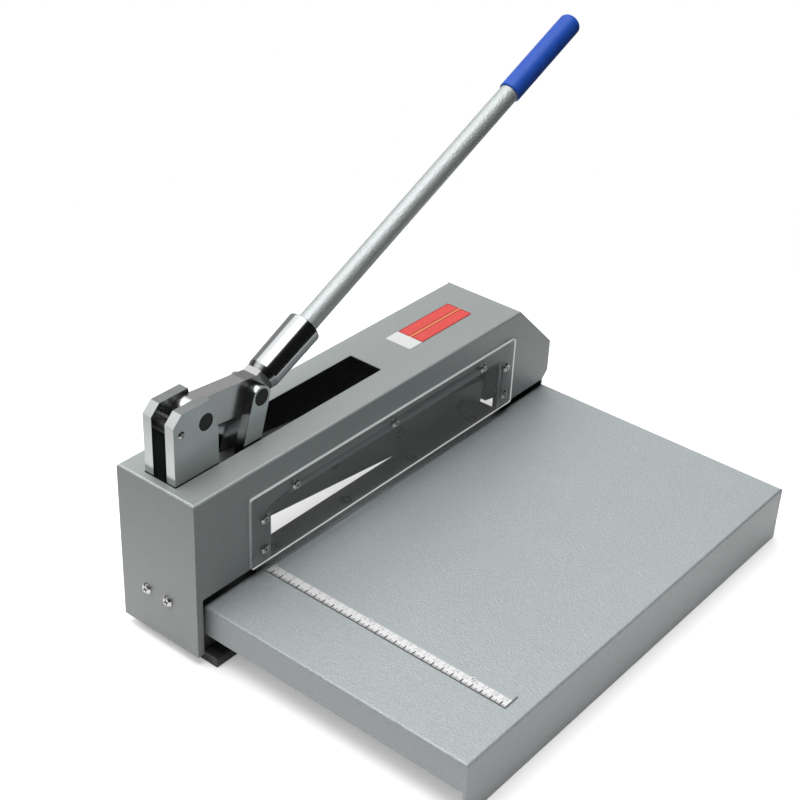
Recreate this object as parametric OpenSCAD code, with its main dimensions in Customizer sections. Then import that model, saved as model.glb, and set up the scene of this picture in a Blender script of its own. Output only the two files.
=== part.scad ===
// Bench lever shear for thin sheet: a raked upper blade swings past a fixed lower blade.
// A dog-leg hand lever pulls the free end of the blade beam down through two links.
// Frame: origin in the middle of the base plate's underside, under the shear line.
// +X runs along the blades to the blade pivot, +Y runs from the feed table to the back, +Z is up.
// All sizes are in millimetres and degrees.

/* [Base and bed] */
// Length of the base plate beyond the length of the upper blade
base_over = 125; // [118:1:132]
// Depth of the base plate from front to back
base_d = 90; // [84:1:96]
// Thickness of the base plate
base_t = 10; // [8:0.5:12]
// Depth of the bed bar
bed_d = 26; // [22:0.5:30]
// Height of the bed bar
bed_h = 40; // [36:0.5:44]
// Depth of the step in the bed beside the lower blade
bed_step = 14; // [13:0.5:16]
// Overhang of the cover past the left end of the base plate
left_over = 10; // [8:0.5:12]
// Overhang of the cover past the right end of the base plate
right_over = 14; // [12:0.5:16]

/* [Blades] */
// Length of the lower blade
lower_blade_l = 355; // [340:1:370]
// Thickness of the lower blade
lower_blade_t = 8; // [7:0.25:9]
// Offset of the lower blade towards the blade pivot
blade_shift = 6.5; // [4:0.5:9]
// Length of the upper blade
upper_blade_l = 363; // [345:1:380]
// Distance from the blade pivot to the upper blade
blade_end = 36; // [34:0.5:38]
// Width of the upper blade
upper_blade_w = 40; // [36:0.5:42]
// Thickness of the upper blade
upper_blade_t = 7.7; // [7:0.1:8.5]
// Relief of the upper blade's edge from front to back
blade_relief = 2; // [1:0.25:3]
// Gap between the two shear faces
blade_gap = 0.1; // [0.08:0.01:0.15]
// Distance between the blade screws
blade_pitch = 97; // [90:0.5:104]
// Shank diameter of the blade screws
blade_screw_d = 6; // [5:0.25:7]

/* [Blade beam] */
// Angle of the upper blade to the table with the lever as drawn
rake = 6.7; // [6:0.1:7.5]
// Distance from the blade pivot down to the cutting edge
edge_drop = 53.2; // [51:0.2:55]
// Height of the beam below the blade pivot
beam_below = 39; // [37:0.5:41]
// Height of the beam above the blade pivot
beam_above = 20; // [18:0.5:22]
// Length of the beam past the blade pivot
beam_tail = 14; // [13:0.25:15]
// Gap between the beam's tail and the block behind it
tail_gap = 0.5; // [0.4:0.1:1]
// Height of the lower link pin above the pivot, measured across the beam
beam_pin_up = 3.3; // [1:0.2:5]
// Distance of the blade pivot from the right end of the cover
blade_pivot_in = 31; // [28:0.5:34]
// Height of the blade pivot above the bench
blade_pivot_h = 90; // [88:0.5:92]
// Play of the lower link pin along the beam, towards the lever
pin_play_out = 10.6; // [10:0.2:12]
// Play of the lower link pin along the beam, towards the blade pivot
pin_play_in = 1.6; // [1.2:0.1:2.5]
// Play of the lower link pin across the beam
pin_play_up = 1.5; // [1.2:0.1:2]

/* [Lever and links] */
// Distance of the lever pivot from the left end of the cover
lever_pivot_in = 45.7; // [43:0.1:48]
// Height of the lever pivot above the bench
lever_pivot_h = 217.6; // [212:0.2:223]
// Length of the short arm from lever pivot to link pin
arm_l = 67; // [64:0.5:70]
// Slope of the short arm below the horizontal
arm_slope = 5.5; // [4:0.5:7]
// Half width of the lever bar, which is also its round ends' radius
bar_r = 16; // [14.5:0.5:17.5]
// Slope of the handle above the horizontal
handle_slope = 25.6; // [22:0.2:29]
// Distance of the handle's axis below the link pin
handle_drop = 1.6; // [1.2:0.1:2]
// Distance of the lower link pin from the left end of the cover
link_foot_in = 91.5; // [88:0.5:95]
// Width of a link
link_w = 21; // [20:0.25:23]
// Thickness of a link
link_t = 9.5; // [8.5:0.1:9.8]
// Diameter of the four pins
pin_d = 16; // [14:0.25:17]
// Wall of the two bronze bushes
bush_wall = 2.5; // [2:0.25:3]
// Running clearance on the radius at the pins
run_fit = 0.05; // [0.03:0.01:0.08]
// Side clearance of the lever and the beam between the plates
side_fit = 0.3; // [0.3:0.05:0.6]

/* [Handle] */
// Gap between the bar's round end and the socket
socket_gap = 0.3; // [0.3:0.1:1]
// Length of the socket
socket_l = 63.5; // [58:0.5:68]
// Diameter of the socket at the bar
socket_d1 = 31.2; // [30:0.1:32]
// Diameter of the socket at the tube
socket_d2 = 32.8; // [32:0.1:34]
// Length of the socket's conical nose
nose_l = 6; // [5:0.25:7]
// Diameter of the socket's nose at its tip
nose_d = 27.6; // [26:0.2:29]
// Edge radius at the mouth of the socket
socket_r = 1.2; // [1:0.1:2]
// Outside diameter of the handle tube
tube_d = 19.2; // [18:0.1:20]
// Wall of the handle tube
tube_wall = 2; // [1.5:0.1:2.5]
// Distance from the link pin to the end of the grip
reach = 506; // [480:1:530]
// Length of the grip
grip_l = 109; // [100:1:118]
// Diameter of the grip
grip_d = 22.4; // [21.5:0.1:24]
// Edge radius at the end of the grip
grip_r = 6; // [5:0.25:7]

/* [Ears and cheeks] */
// Clear distance between the two ears
plate_gap = 16; // [15:0.25:17]
// Thickness of the ears and cheeks
ear_t = 10; // [9:0.25:11]
// Distance of the ears' left edge from the left end of the cover
ear_in = 9; // [8.6:0.1:11]
// Distance of the ears' right edge from the left end of the cover
ear_out = 59.5; // [57:0.5:62]
// Height of the ears above the lever pivot
ear_up = 19.4; // [18:0.2:21]
// Chamfer on the ears' upper left corner
ear_cut = 9.5; // [8:0.5:11]
// Diameter of the round stay between the ears
stay_d = 11; // [10:0.5:12]
// Gap between the upper blade's end and the cheeks' left edge
cheek_gap = 1; // [0.8:0.1:2]
// Height of the cheeks above the blade pivot
cheek_up = 20; // [18:0.5:21]
// Width of the foot under the front cheek
cheek_foot = 36; // [34:0.5:38]
// Height of the block between the ears
ear_block_h = 84; // [78:1:90]
// Length of the block between the ears
ear_block_l = 42; // [39:0.5:45]
// Height of the block between the cheeks
cheek_block_h = 74; // [70:1:78]

/* [Cover] */
// Depth of the cover from front to back
cover_d = 92; // [88:1:96]
// Height of the cover's top above the base plate
cover_h = 160; // [156:1:164]
// Distance of the cover's front face from the shear line
cover_front = 32.5; // [31.5:0.25:34]
// Sheet thickness of the cover and the table
sheet_t = 2; // [1.5:0.25:2.5]
// Bend radius on the outside of the sheet
bend_r = 2.5; // [2:0.25:3]
// Length of the slanted corner of the cover along the blades
slant_l = 60; // [54:1:66]
// Height of the slanted corner of the cover
slant_h = 58; // [54:1:62]
// Gap between the table and the cover's front panel
feed_gap = 11; // [10:0.25:13]
// Width of the strip that runs down at the cover's left corner
strip_w = 7.2; // [6:0.2:8.4]
// Offset of the window towards the blade pivot
window_shift = 3.25; // [2.5:0.25:4]
// Length of the slot in the cover's top
slot_l = 263; // [255:1:271]
// Distance of the slot from the left end of the cover
slot_in = 8.2; // [7.5:0.1:8.4]
// Gap between the ears and the sides of the slot
slot_gap = 1; // [0.8:0.1:1.5]
// Height of the exit opening in the back above the base plate
exit_h = 60; // [56:1:64]
// Width of the cover's back posts beside the exit
post_w = 24; // [20:1:28]
// Height of the gap under the cover's right end
end_gap_h = 6; // [5:0.5:7]
// Length of the gap under the cover's right end
end_gap_l = 22; // [20:0.5:24]
// Height of the screws in the cover's ends above the bench
end_screw_h = 54; // [52:0.5:56]

/* [Guard] */
// Length of the acrylic guard
guard_l = 380; // [370:1:390]
// Height of the acrylic guard
guard_h = 74; // [71:0.5:77]
// Thickness of the acrylic guard
guard_t = 3; // [2.5:0.25:4]
// Corner radius of the acrylic guard
guard_r = 2.5; // [2:0.25:4]
// Height of the guard's lower edge above the cover's front edge
guard_up = 0.7; // [0.5:0.1:1.5]
// Overlap of the guard past each end of the window
guard_lap = 23.75; // [22.5:0.25:25]
// Overlap of the guard above the window
guard_lap_up = 19.7; // [18:0.1:21]
// Distance of the outer guard screws from the guard's ends
guard_edge = 15.5; // [14.5:0.25:16]
// Distance of the outer upper screws from the guard's ends
guard_top_in = 55; // [50:1:60]
// Distance of the upper guard screws from the guard's upper edge
guard_top_down = 10.2; // [9.5:0.1:11]
// Shank diameter of the guard screws
guard_screw_d = 4; // [3.5:0.25:4.5]
// Head diameter of the guard screws
guard_head_d = 9.2; // [8.5:0.1:9.8]

/* [Table and rule] */
// Depth of the table in front of the shear line
table_d = 313; // [300:1:326]
// Distance of the table's left edge from the left end of the cover
table_in = 12; // [11:0.5:14]
// Height of the table's side flanges
flange_h = 30; // [28:0.5:32]
// Gap between the table and the lower blade
table_gap = 0.5; // [0.3:0.1:1]
// Distance of the rule's left edge from the left end of the cover
rule_in = 82.5; // [80:0.5:86]
// Width of the rule
rule_w = 17.6; // [16.5:0.1:19]
// Thickness of the rule
rule_t = 0.8; // [0.6:0.1:1]
// Length of the rule
rule_l = 262; // [255:1:268]
// Distance between the rule's rivets
rivet_pitch = 109.7; // [105:0.5:114]
// Width of a table bracket
bracket_w = 30; // [26:1:34]
// Leg length of a table bracket
bracket_leg = 32; // [29:1:35]
// Thickness of a table bracket
bracket_t = 3; // [2.5:0.25:3.5]

/* [Fasteners] */
// Shank diameter of the bolts in the base plate and the ears
bolt_d = 8; // [7:0.25:9]
// Shank diameter of the bolts from the bed into ears and cheeks
plate_bolt_d = 6; // [5.5:0.25:6.5]
// Shank diameter of the bolts across the cheeks
cheek_tie_d = 4; // [3.5:0.25:4.5]
// Shank diameter of the table bolts
table_bolt_d = 6; // [5.5:0.25:6.5]
// Shank diameter of the screws in the round stay
stay_screw_d = 4; // [3.5:0.25:4.5]
// Shank diameter of the rule's rivets
rivet_d = 3; // [2.5:0.25:3.5]
// Shank diameter of the screws in the cover's ends
end_screw_d = 5; // [4.5:0.25:5.5]
// Head diameter of the screws in the cover's ends
end_head_d = 10.4; // [9.8:0.1:11]
// Clearance on the radius around screws and seated pins
seat_fit = 0.05; // [0.03:0.01:0.08]

/* [Hidden] */
$fn = 64;
// Main planes
base_l = upper_blade_l + base_over;
left_x = -base_l / 2 - left_over;
right_x = base_l / 2 + right_over;
cover_l = right_x - left_x;
front_y = -cover_front;
back_y = front_y + cover_d;
table_z = base_t + bed_h + lower_blade_t;
bed_z = base_t + bed_h;
top_z = base_t + cover_h;
bar_t = plate_gap - 2 * side_fit;
drive_y = blade_gap + upper_blade_t + bar_t / 2;
front_in_y = drive_y - plate_gap / 2;
front_out_y = front_in_y - ear_t;
rear_in_y = drive_y + plate_gap / 2;
rear_out_y = rear_in_y + ear_t;
bed_front_y = front_out_y - bed_d;
panel_z = table_z + feed_gap;
window_l = guard_l - 2 * guard_lap;
window_h = guard_up + guard_h - guard_lap_up;
// Pivots, as [x, z]
lever_pivot = [left_x + lever_pivot_in, lever_pivot_h];
link_top = lever_pivot + arm_l * [cos(arm_slope), -sin(arm_slope)];
blade_pivot = [right_x - blade_pivot_in, blade_pivot_h];
foot_x = left_x + link_foot_in;
beam_arm = (blade_pivot[0] + beam_pin_up * sin(rake) - foot_x) / cos(rake);
link_foot = blade_pivot + [-beam_arm * cos(rake) + beam_pin_up * sin(rake),
                           beam_arm * sin(rake) + beam_pin_up * cos(rake)];
link_v = link_foot - link_top;
link_len = norm(link_v);
// Upper blade along the beam, measured from the blade pivot
blade_tip = blade_end + upper_blade_l;
pin_hole_r = pin_d / 2 + pin_play_up;
beam_cut = beam_above / 2;
beam_end = beam_arm + pin_play_out + pin_d;
upper_screw_from = blade_end + (upper_blade_l - 3 * blade_pitch) / 2;
upper_screw_up = upper_blade_w * 0.56;
upper_screw_l = upper_blade_t + 0.7 * bar_t;
lower_screw_l = lower_blade_t + 0.3 * bed_h;
lower_screw_y = bed_front_y + bed_d * 0.54;
lower_blade_end = blade_shift + lower_blade_l / 2;
hex_key = 0.77 * blade_screw_d;
hex_deep = 0.4 * blade_screw_d;
// Handle
socket_from = bar_r + socket_gap;
socket_to = socket_from + socket_l;
tube_from = socket_from + socket_l * 0.44;
spigot_to = tube_from - 2 * side_fit;
spigot_d = bar_t - side_fit;
tongue_w = 2 * (bar_r - handle_drop - side_fit);
grip_end_t = (grip_d - tube_d) * 1.02;
// Ends of the cover
ear_edge_x = left_x + sheet_t;
cheek_x = blade_pivot[0] - blade_end + cheek_gap;
cheek_edge_x = right_x - sheet_t;
cheek_top = blade_pivot_h + cheek_up;
under_top = top_z - sheet_t;
end_ys = [front_in_y - ear_t / 2, rear_in_y + ear_t / 2];
// Guard
guard_z = panel_z + guard_up;
guard_screw_x = guard_l / 2 - guard_edge;
guard_top_x = guard_l / 2 - guard_top_in;
guard_low = guard_h * 0.213;
guard_mid = guard_h * 0.639;
guard_high = guard_h - guard_top_down;
guard_screws_at = [[-guard_screw_x, guard_low], [-guard_screw_x, guard_mid], [guard_screw_x, guard_low],
                   [guard_screw_x, guard_mid], [-guard_top_x, guard_high], [0, guard_high],
                   [guard_top_x, guard_high]];
guard_head_h = 0.3 * guard_head_d;
nut_h = 0.8 * guard_screw_d;
nut_d = 2.02 * guard_screw_d;
end_head_h = 0.28 * end_head_d;
end_screw_l = sheet_t + 0.9 * ear_t;
// Table
table_x = left_x + table_in;
table_l = right_x - table_x;
table_front_y = -table_d;
table_back_y = bed_front_y - table_gap;
rule_x = left_x + rule_in;
rule_y = front_y - 2 * rule_t;
rivet_x = rule_x + rule_w * 0.55;
rivet_y = rule_y - rivet_d;
rivet_head_d = 1.8 * rivet_d;
rivet_head_h = 0.25 * rivet_d;
bracket_xs = [-base_l * 0.235, base_l * 0.235];
table_bolt_z = base_t + bed_h * 0.55;
table_bolt_l = bracket_t + 2 * table_bolt_d;
lower_screw_xs = [for (i = [-1.5 : 1 : 1.5]) blade_shift + i * blade_pitch];
// Blocks, cheeks and the bolts through them
cheek_cut = cheek_up / 2;
foot_x0 = cheek_edge_x - cheek_foot;
cheek_low = [table_z - 0.25 * cheek_cut, table_z - 0.8 * cheek_cut];
rear_cheek_z = end_screw_h - 1.2 * end_screw_d;
cheek_block_x = blade_pivot[0] + norm([beam_tail, beam_above - beam_cut]) + tail_gap;
cheek_block_z = bed_z - bed_h / 2;
ear_block_x = ear_edge_x + plate_gap / 5;
base_screw_xs = [-base_l * 0.307, 0, base_l * 0.307];
base_screw_l = base_t + 1.75 * bolt_d;
ear_w = ear_out - sheet_t;
plate_bolts_at = [[ear_edge_x + ear_w * 0.3, base_t + bed_h * 0.45],
                  [ear_edge_x + ear_w * 0.75, base_t + bed_h * 0.45],
                  [(foot_x0 + base_l / 2) / 2, base_t + 1.25 * plate_bolt_d],
                  [(foot_x0 + base_l / 2) / 2, base_t + 3.2 * plate_bolt_d]];
ear_tie_x = ear_block_x + ear_block_l * 0.64;
cheek_tie_x = (cheek_block_x + cheek_edge_x) / 2;
// Bolts across plates and blocks, as [x, z, diameter]
ties_at = [[ear_tie_x, base_t + ear_block_h * 0.29, bolt_d], [ear_tie_x, base_t + ear_block_h * 0.76, bolt_d],
           [cheek_tie_x, cheek_block_z + cheek_block_h * 0.5, cheek_tie_d],
           [cheek_tie_x, cheek_block_z + cheek_block_h * 0.9, cheek_tie_d]];
stay_at = [left_x + ear_in + 0.82 * stay_d, lever_pivot_h];

// Directions: a profile drawn in (y, z) runs along X, one drawn in (x, z) runs along Y.
module along_x(x0, l) {
    translate([x0, 0, 0])
        rotate([90, 0, 90])
            linear_extrude(l)
                children();
}

module along_y(y0, l) {
    translate([0, y0 + l, 0])
        rotate([90, 0, 0])
            linear_extrude(l)
                children();
}

// A round bar or hole along Y through the point p = [x, z].
module rod_y(p, y0, l, d) {
    translate([p[0], y0 + l, p[1]])
        rotate([90, 0, 0])
            cylinder(h = l, d = d);
}

// A round bar or hole along X through the point p = [y, z].
module rod_x(x0, p, l, d) {
    translate([x0, p[0], p[1]])
        rotate([0, 90, 0])
            cylinder(h = l, d = d);
}

// Flat bar outline with round ends at a and b.
module bar_outline(a, b, r) {
    v = b - a;
    translate(a)
        circle(r);
    translate(b)
        circle(r);
    translate(a)
        rotate(atan2(v[1], v[0]))
            translate([0, -r])
                square([norm(v), 2 * r]);
}

// Rectangle with round corners, from the lower left corner.
module round_plate(l, h, r) {
    translate([r, 0])
        square([l - 2 * r, h]);
    translate([0, r])
        square([l, h - 2 * r]);
    for (x = [r, l - r]) {
        for (z = [r, h - r]) {
            translate([x, z])
                circle(r);
        }
    }
}

// Headless pin along Y with chamfered ends.
module pin_y(p, y0, l, d) {
    c = 0.8;
    translate([p[0], y0 + l, p[1]])
        rotate([90, 0, 0])
            rotate_extrude()
                polygon([[0, 0], [d / 2 - c, 0], [d / 2, c], [d / 2, l - c], [d / 2 - c, l], [0, l]]);
}

// Countersunk screw, head flush at z = 0, shank down; grow is the clearance on the radius.
module flat_screw(d, l, grow) {
    translate([0, 0, -l - grow])
        cylinder(h = l, d = d + 2 * grow);
    translate([0, 0, -d / 2 - 0.3])
        cylinder(h = d / 2 + 0.3 + (grow > 0 ? 1 : 0), d1 = d + 2 * grow,
                 d2 = 2 * d + 0.6 + 2 * grow + (grow > 0 ? 2 : 0));
}

// Screw with a low cross-recessed head above z = 0 and the shank down.
module pan_screw(d, head_d, head_h, l) {
    translate([0, 0, -l])
        cylinder(h = l, d = d);
    difference() {
        union() {
            cylinder(h = head_h * 0.5, d = head_d);
            translate([0, 0, head_h * 0.5])
                cylinder(h = head_h * 0.5, d1 = head_d, d2 = head_d * 0.7);
        }
        for (a = [0, 90]) {
            rotate([0, 0, a + 20])
                translate([-head_d * 0.28, -head_d * 0.07, head_h * 0.4])
                    cube([head_d * 0.56, head_d * 0.14, head_h]);
        }
    }
}

// Blade beam coordinates: x along the beam from the blade pivot, z across it, turned to the rake.
module on_beam() {
    translate([blade_pivot[0], 0, blade_pivot[1]])
        rotate([0, rake, 0])
            children();
}

// Handle coordinates: z along the handle's axis, which runs just below the link pin.
module on_handle() {
    translate([link_top[0], drive_y, link_top[1]])
        rotate([0, 90 - handle_slope, 0])
            translate([handle_drop, 0, 0])
                children();
}

// Base plate: black flat steel with chamfered top edges and countersunk holes from below.
module base_plate() {
    color([0.05, 0.05, 0.055])
        difference() {
            translate([-base_l / 2, -base_d / 2, 0])
                cube([base_l, base_d, base_t]);
            for (s = [-1, 1]) {
                along_x(-base_l / 2 - 1, base_l + 2)
                    polygon([[s * base_d / 2, base_t - 1.5], [s * (base_d / 2 + 1), base_t - 2.5],
                             [s * (base_d / 2 + 1), base_t + 1], [s * (base_d / 2 - 1.5), base_t + 1],
                             [s * (base_d / 2 - 1.5), base_t]]);
            }
            base_screw_set(seat_fit);
        }
}

module base_screw_set(grow) {
    for (x = base_screw_xs) {
        translate([x, bed_front_y + bed_d / 2, 0])
            rotate([180, 0, 0])
                flat_screw(bolt_d, base_screw_l, grow);
    }
    translate([ear_block_x + ear_block_l / 2, drive_y, 0])
        rotate([180, 0, 0])
            flat_screw(bolt_d, base_screw_l, grow);
}

module base_screws() {
    color([0.2, 0.2, 0.21])
        base_screw_set(0);
}

// Bed bar: carries the lower blade, takes the plate bolts and the table bolts.
module bed() {
    color([0.2, 0.21, 0.21])
        difference() {
            translate([-base_l / 2, bed_front_y, base_t])
                cube([base_l, bed_d, bed_h]);
            // step beside the lower blade
            translate([lower_blade_end, bed_front_y - 1, bed_z - bed_step])
                cube([base_l, bed_d + 2, bed_step + 1]);
            base_screw_set(seat_fit);
            lower_screw_set(seat_fit);
            plate_bolt_set(seat_fit);
            for (x = bracket_xs) {
                rod_y([x, table_bolt_z], bed_front_y - 1, table_bolt_l - bracket_t + 3,
                      table_bolt_d + 2 * seat_fit);
            }
        }
}

// Lower blade: ground bar that overhangs the bed to the shear line.
module lower_blade() {
    color([0.32, 0.33, 0.33])
        difference() {
            along_x(blade_shift - lower_blade_l / 2, lower_blade_l)
                polygon([[bed_front_y, bed_z], [front_out_y, bed_z], [-blade_relief / 2, bed_z],
                         [0, table_z - lower_blade_t / 2], [0, table_z], [bed_front_y, table_z]]);
            lower_screw_set(seat_fit);
        }
}

module lower_screw_set(grow) {
    for (x = lower_screw_xs) {
        translate([x, lower_screw_y, table_z - 2 * blade_gap])
            flat_screw(blade_screw_d, lower_screw_l, grow);
    }
}

module lower_blade_screws() {
    color([0.15, 0.15, 0.16])
        difference() {
            lower_screw_set(0);
            for (x = lower_screw_xs) {
                translate([x, lower_screw_y, table_z - 2 * blade_gap - hex_deep])
                    cylinder(h = hex_deep + 1, d = hex_key, $fn = 6);
            }
        }
}

// Ear outline in (x, z): shoulder under the cover's top, chamfered top left, slanted top right.
module ear_outline() {
    ear_top = lever_pivot_h + ear_up;
    polygon([[ear_edge_x, base_t], [ear_edge_x, under_top], [left_x + ear_in, under_top],
             [left_x + ear_in, ear_top - ear_cut], [left_x + ear_in + ear_cut, ear_top],
             [lever_pivot[0] + pin_d / 3, ear_top], [left_x + ear_out, lever_pivot_h - 0.78 * pin_d],
             [left_x + ear_out, base_t]]);
}

module ear(y0) {
    difference() {
        along_y(y0, ear_t)
            ear_outline();
        rod_y(lever_pivot, y0 - 1, ear_t + 2, pin_d + 2 * seat_fit);
        rod_y(stay_at, y0 - 1, ear_t + 2, stay_screw_d + 2 * seat_fit);
        rod_x(ear_edge_x - 1, [y0 + ear_t / 2, end_screw_h], end_screw_l, end_screw_d + 2 * seat_fit);
        plate_bolt_set(seat_fit);
        tie_bolt_set(seat_fit);
    }
}

module front_ear() {
    color([0.42, 0.43, 0.43])
        ear(front_out_y);
}

module rear_ear() {
    color([0.42, 0.43, 0.43])
        ear(rear_in_y);
}

// Block between the ears, low down, bolted from below and from behind.
module ear_block() {
    color([0.3, 0.31, 0.31])
        difference() {
            translate([ear_block_x, front_in_y, base_t])
                cube([ear_block_l, plate_gap, ear_block_h]);
            base_screw_set(seat_fit);
            tie_bolt_set(seat_fit);
        }
}

// Round stay between the ears at the top, held by a small screw from each side.
module ear_stay() {
    color([0.1, 0.1, 0.11])
        difference() {
            rod_y(stay_at, front_in_y, plate_gap, stay_d);
            rod_y(stay_at, front_in_y - 1, plate_gap + 2, stay_screw_d + 2 * seat_fit);
        }
}

module ear_screws() {
    color([0.12, 0.12, 0.13])
        for (s = [0, 1]) {
            translate([stay_at[0], s == 0 ? front_out_y : rear_out_y, stay_at[1]])
                rotate([s == 0 ? 90 : -90, 0, 0])
                    pan_screw(stay_screw_d, 1.6 * stay_screw_d, 0.4 * stay_screw_d, ear_t + 0.4 * plate_gap);
        }
}

// Cheeks at the right end: the front one stands on the base behind the bed, the rear one hangs on the block.
module cheek(y0) {
    difference() {
        along_y(y0, ear_t)
            children();
        rod_y(blade_pivot, y0 - 1, ear_t + 2, pin_d + 2 * seat_fit);
        rod_x(cheek_edge_x - end_screw_l + 1, [y0 + ear_t / 2, end_screw_h], end_screw_l,
              end_screw_d + 2 * seat_fit);
        plate_bolt_set(seat_fit);
        tie_bolt_set(seat_fit);
    }
}

module front_cheek() {
    color([0.3, 0.31, 0.31])
        cheek(front_out_y)
            polygon([[foot_x0, base_t], [cheek_edge_x, base_t], [cheek_edge_x, cheek_top - cheek_cut],
                     [cheek_edge_x - cheek_cut, cheek_top], [cheek_x + cheek_cut, cheek_top],
                     [cheek_x, cheek_top - cheek_cut], [cheek_x, cheek_low[0]], [foot_x0, cheek_low[1]]]);
}

module rear_cheek() {
    color([0.3, 0.31, 0.31])
        cheek(rear_in_y)
            polygon([[cheek_x + cheek_cut, rear_cheek_z], [cheek_edge_x, rear_cheek_z],
                     [cheek_edge_x, cheek_top - cheek_cut], [cheek_edge_x - cheek_cut, cheek_top],
                     [cheek_x + cheek_cut, cheek_top], [cheek_x, cheek_top - cheek_cut],
                     [cheek_x, rear_cheek_z + cheek_cut]]);
}

module cheek_block() {
    color([0.3, 0.31, 0.31])
        difference() {
            translate([cheek_block_x, front_in_y, cheek_block_z])
                cube([cheek_edge_x - cheek_block_x, plate_gap, cheek_block_h]);
            tie_bolt_set(seat_fit);
        }
}

// Socket bolts from the bed's front face into the front plates, heads sunk in the bed.
module plate_bolt_set(grow) {
    sunk = grow > 0 ? -1 : 0.1 * plate_bolt_d;
    for (p = plate_bolts_at) {
        rod_y(p, bed_front_y + plate_bolt_d, bed_d - plate_bolt_d + 0.8 * ear_t + grow,
              plate_bolt_d + 2 * grow);
        rod_y(p, bed_front_y + sunk, plate_bolt_d - sunk, 1.6 * plate_bolt_d + 2 * grow);
    }
}

module plate_bolts() {
    color([0.12, 0.12, 0.13])
        difference() {
            plate_bolt_set(0);
            for (p = plate_bolts_at) {
                translate([p[0], bed_front_y + 0.6 * plate_bolt_d, p[1]])
                    rotate([90, 0, 0])
                        cylinder(h = plate_bolt_d, d = 0.83 * plate_bolt_d, $fn = 6);
            }
        }
}

// Hexagon bolts from behind through rear plate and block into the front plate.
module tie_bolt_set(grow) {
    deep = 0.7 * ear_t + grow;
    for (p = ties_at) {
        rod_y([p[0], p[1]], front_in_y - deep, plate_gap + ear_t + deep + (grow > 0 ? 1 : 0), p[2] + 2 * grow);
    }
}

module tie_bolts() {
    color([0.2, 0.2, 0.21]) {
        tie_bolt_set(0);
        for (p = ties_at) {
            translate([p[0], rear_out_y + 0.66 * p[2], p[1]])
                rotate([90, 30, 0])
                    cylinder(h = 0.66 * p[2], d = 1.88 * p[2], $fn = 6);
        }
    }
}

module lever_pivot_pin() {
    color([0.1, 0.1, 0.11])
        pin_y(lever_pivot, front_out_y, plate_gap + 2 * ear_t, pin_d);
}

module blade_pivot_pin() {
    color([0.1, 0.1, 0.11])
        pin_y(blade_pivot, front_out_y, plate_gap + 2 * ear_t, pin_d);
}

// Cover outline in (x, z): slanted upper right corner; in moves it inwards by the sheet.
module cover_outline(in) {
    k = in * (norm([slant_l, slant_h]) - slant_l) / slant_h;
    m = in * (norm([slant_l, slant_h]) - slant_h) / slant_l;
    polygon([[left_x + in, base_t - (in > 0 ? 1 : 0)], [left_x + in, top_z - in],
             [right_x - slant_l - k, top_z - in], [right_x - in, top_z - slant_h - m],
             [right_x - in, base_t - (in > 0 ? 1 : 0)]]);
}

// Cover: folded sheet with a slot for ears and links, a window, a feed gap and an exit at the back.
module cover() {
    slot_w = plate_gap + 2 * ear_t + 2 * slot_gap;
    corner = 4 * sheet_t;
    color([0.55, 0.58, 0.575])
        difference() {
            along_y(front_y, cover_d)
                cover_outline(0);
            along_y(front_y + sheet_t, cover_d - 2 * sheet_t)
                cover_outline(sheet_t);
            // feed gap under the front panel, with the narrow strip kept at the left corner
            translate([left_x + strip_w, front_y - 1, base_t - 1])
                cube([cover_l, sheet_t + 2, panel_z - base_t + 1]);
            // the right end stands behind the table
            translate([right_x - sheet_t - 1, front_y - 1, base_t - 1])
                cube([sheet_t + 2, table_back_y + table_gap + 1 - front_y + 1, panel_z - base_t + 1]);
            along_y(front_y - 1, sheet_t + 2)
                polygon([[right_x - corner, panel_z - 0.01], [right_x + 1, panel_z - 0.01],
                         [right_x + 1, panel_z + corner + 1]]);
            // gap under the right end, which lets light in behind the cheeks
            translate([right_x - sheet_t - 1, drive_y + plate_gap * 0.3, base_t - 1])
                cube([sheet_t + 2, end_gap_l, end_gap_h + 1]);
            // window
            translate([window_shift - window_l / 2, front_y - 1, panel_z - 1])
                cube([window_l, sheet_t + 2, window_h + 1]);
            // slot in the top
            translate([left_x + slot_in, drive_y - slot_w / 2, top_z - sheet_t - 1])
                cube([slot_l, slot_w, sheet_t + 2]);
            // exit at the back
            translate([left_x + post_w, back_y - sheet_t - 1, base_t - 1])
                cube([cover_l - 2 * post_w, sheet_t + 2, exit_h + 1]);
            // rounded bends along the top, front and back
            bend_cut_x(front_y, 1);
            bend_cut_x(back_y, -1);
            // rounded bend at the top left
            difference() {
                translate([left_x - 1, front_y - 1, top_z - bend_r])
                    cube([bend_r + 1, cover_d + 2, bend_r + 1]);
                rod_y([left_x + bend_r, top_z - bend_r], front_y - 2, cover_d + 4, 2 * bend_r);
            }
            for (p = guard_screws_at) {
                rod_y([p[0], guard_z + p[1]], front_y - 1, sheet_t + 2, guard_screw_d + 2 * seat_fit);
            }
            for (y = end_ys) {
                rod_x(left_x - 1, [y, end_screw_h], sheet_t + 2, end_screw_d + 2 * seat_fit);
                rod_x(right_x - sheet_t - 1, [y, end_screw_h], sheet_t + 2, end_screw_d + 2 * seat_fit);
            }
        }
}

// Removes the sharp edge along X at the cover's top, at the face y; s points into the cover.
module bend_cut_x(y, s) {
    difference() {
        translate([left_x - 1, s > 0 ? y - 1 : y - bend_r, top_z - bend_r])
            cube([cover_l - slant_l + 1, bend_r + 1, bend_r + 1]);
        rod_x(left_x - 2, [y + s * bend_r, top_z - bend_r], cover_l + 4, 2 * bend_r);
    }
}

module cover_screws() {
    color([0.7, 0.71, 0.72])
        for (y = end_ys) {
            translate([left_x, y, end_screw_h])
                rotate([0, -90, 0])
                    pan_screw(end_screw_d, end_head_d, end_head_h, end_screw_l);
            translate([right_x, y, end_screw_h])
                rotate([0, 90, 0])
                    pan_screw(end_screw_d, end_head_d, end_head_h, end_screw_l);
        }
}

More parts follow.
